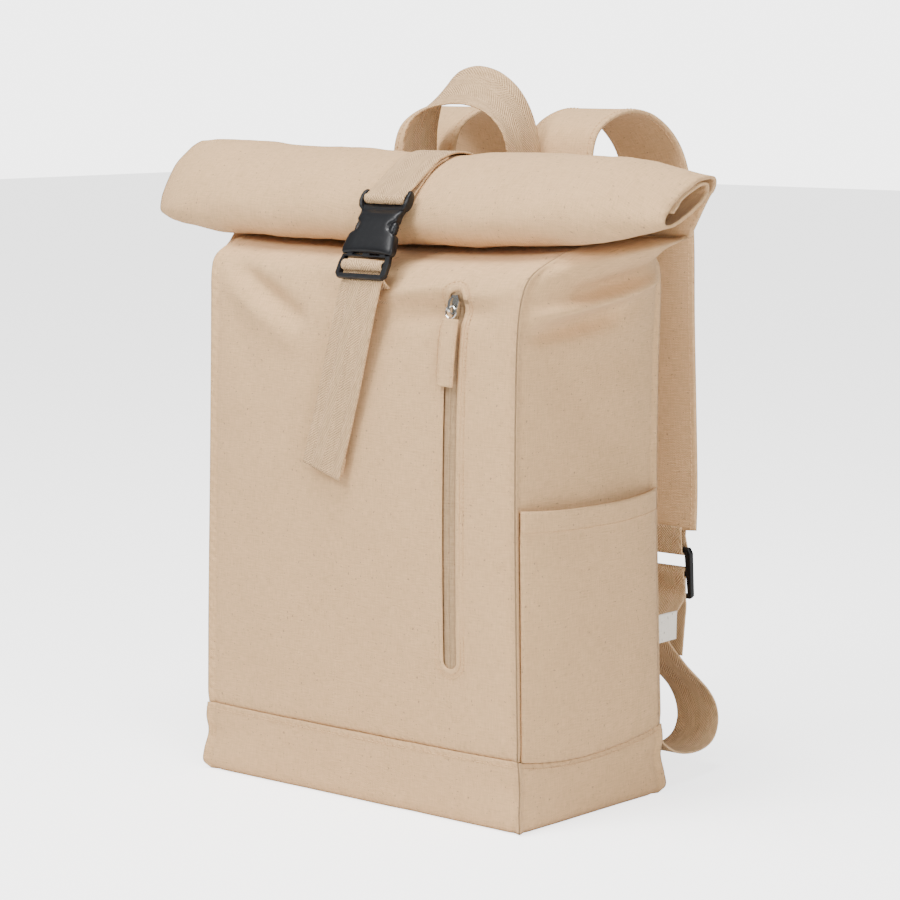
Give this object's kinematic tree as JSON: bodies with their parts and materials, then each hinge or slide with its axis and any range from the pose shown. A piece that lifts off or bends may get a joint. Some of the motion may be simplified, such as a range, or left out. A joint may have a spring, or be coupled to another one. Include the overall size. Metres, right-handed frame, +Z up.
{
  "type": "rolltop backpack",
  "caption": "Canvas rolltop backpack with a rolled mouth, buckled webbing closure, front zip pocket, slip side pockets, carry handle and shoulder straps.",
  "frame": {"origin": "centre of the flat base, on the ground", "axes": "+Z up, +X to the right seen from the zip pocket's side, +Y towards the wearer's back"},
  "size_m": [0.444, 0.2558, 0.5027],
  "materials": {
    "canvas": "undyed plain-weave cotton canvas, matt",
    "webbing": "undyed cotton webbing, herringbone twill",
    "zip_tape": "beige woven zip tape with covered teeth",
    "black_plastic": "black moulded plastic, satin",
    "nickel": "polished nickel plate",
    "label": "off-white cotton tape, bare"
  },
  "bodies": {
    "root": {"body_shell": "canvas", "base_boot": "canvas", "side_pocket_right": "canvas", "side_pocket_left": "canvas", "rolled_top": "canvas", "closure_strap": "webbing", "closure_tail": "webbing", "buckle_socket": "black_plastic", "buckle_prong": "black_plastic", "zip_tape": "zip_tape", "zip_slider": "nickel", "zip_ring": "nickel", "zip_puller": "canvas", "grab_handle": "webbing", "shoulder_strap_right": "canvas", "shoulder_strap_left": "canvas", "strap_adjuster_right": "black_plastic", "strap_adjuster_left": "black_plastic", "strap_loop_right": "webbing", "strap_loop_left": "webbing", "lower_webbing_right": "webbing", "lower_webbing_left": "webbing", "side_label": "label"}
  },
  "joints": []
}
